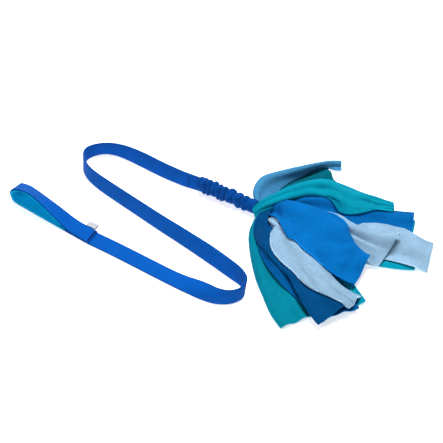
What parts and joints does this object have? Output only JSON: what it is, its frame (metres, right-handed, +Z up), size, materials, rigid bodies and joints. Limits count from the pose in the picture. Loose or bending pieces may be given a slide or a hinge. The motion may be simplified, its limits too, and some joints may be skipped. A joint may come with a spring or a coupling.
{
  "type": "bungee tug toy",
  "caption": "Dog tug toy: a flat webbing lead with a lined loop handle, a ruched bungee section and a mop of fleece tails bound at its end.",
  "frame": {"origin": "on the floor under the flat underside of the handle loop, 22 mm back from its seam", "axes": "+X runs along the bungee from the lead towards the tips of the fleece tails, +Z is up from the floor the toy lies on, +Y completes a right-handed frame"},
  "size_m": [0.482, 0.2836, 0.0367],
  "materials": {
    "webbing_blue": "woven royal blue webbing, matt",
    "lining_turquoise": "turquoise soft lining, matt",
    "thread_navy": "navy thread and cord",
    "thread_blue": "royal blue thread",
    "label_white": "blank white ribbon",
    "bungee_cloth": "ruched royal blue tubular cloth",
    "elastic": "elastic cord, hidden in the sleeve",
    "fleece_blue": "royal blue fleece, matt and soft",
    "fleece_turquoise": "turquoise fleece, matt and soft",
    "fleece_pale_blue": "pale blue fleece, matt and soft"
  },
  "bodies": {
    "lead": {"lead_webbing": "webbing_blue", "bungee_stitching": "thread_blue", "bungee_sleeve": "bungee_cloth", "bungee_elastic": "elastic"},
    "handle": {"handle_webbing": "webbing_blue", "handle_lining": "lining_turquoise", "handle_stitching": "thread_navy"},
    "label": {"label_tag": "label_white"},
    "bungee_end": {"anchor_tab": "webbing_blue", "anchor_stitching": "thread_navy"},
    "mop_anchor": {"binding_cord": "thread_navy"},
    "mop": {"fleece_knot": "fleece_blue", "tail_01_turquoise": "fleece_turquoise", "tail_02_turquoise": "fleece_turquoise", "tail_03_turquoise": "fleece_turquoise", "tail_04_turquoise": "fleece_turquoise", "tail_05_blue": "fleece_blue", "tail_06_turquoise": "fleece_turquoise", "tail_07_blue": "fleece_blue", "tail_08_blue": "fleece_blue", "tail_09_pale": "fleece_pale_blue", "tail_10_blue": "fleece_blue", "tail_11_pale": "fleece_pale_blue", "tail_12_pale": "fleece_pale_blue", "tail_13_pale": "fleece_pale_blue"},
    "side_tail": {"tail_14_turquoise": "fleece_turquoise"},
    "back_tail": {"tail_15_blue": "fleece_blue"},
    "top_tail": {"tail_16_blue": "fleece_blue"}
  },
  "joints": [
    {"name": "handle_lift", "type": "hinge", "parent": "lead", "child": "handle", "pos_m": [0.022, -0.001, 0.0048], "axis": [0, 1, 0], "range_deg": [0, 90]},
    {"name": "label_lift", "type": "hinge", "parent": "handle", "child": "label", "pos_m": [0.0095, 0.0116, 0.0033], "axis": [1, 0, 0], "range_deg": [0, 70]},
    {"name": "bungee_stretch", "type": "slide", "parent": "lead", "child": "bungee_end", "axis": [1, 0, 0], "range_m": [0, 0.055], "stiffness_N_per_m": 180, "deforming": ["bungee_sleeve", "bungee_elastic"]},
    {"name": "mop_lift", "type": "hinge", "parent": "bungee_end", "child": "mop_anchor", "pos_m": [0.164, 0.143, 0.02], "axis": [0, -1, 0], "range_deg": [0, 60]},
    {"name": "mop_swing", "type": "hinge", "parent": "mop_anchor", "child": "mop", "pos_m": [0.176, 0.143, 0], "axis": [0, 0, 1], "range_deg": [0, 25]},
    {"name": "side_tail_lift", "type": "hinge", "parent": "mop", "child": "side_tail", "pos_m": [0.173, 0.139, 0.02], "axis": [0.6691, -0.7431, 0], "range_deg": [0, 40]},
    {"name": "back_tail_lift", "type": "hinge", "parent": "mop", "child": "back_tail", "pos_m": [0.17, 0.157, 0.011], "axis": [0.9063, -0.4226, 0], "range_deg": [0, 40]},
    {"name": "top_tail_lift", "type": "hinge", "parent": "mop", "child": "top_tail", "pos_m": [0.188, 0.138, 0.0215], "axis": [-0.2419, -0.9703, 0], "range_deg": [0, 45]}
  ]
}
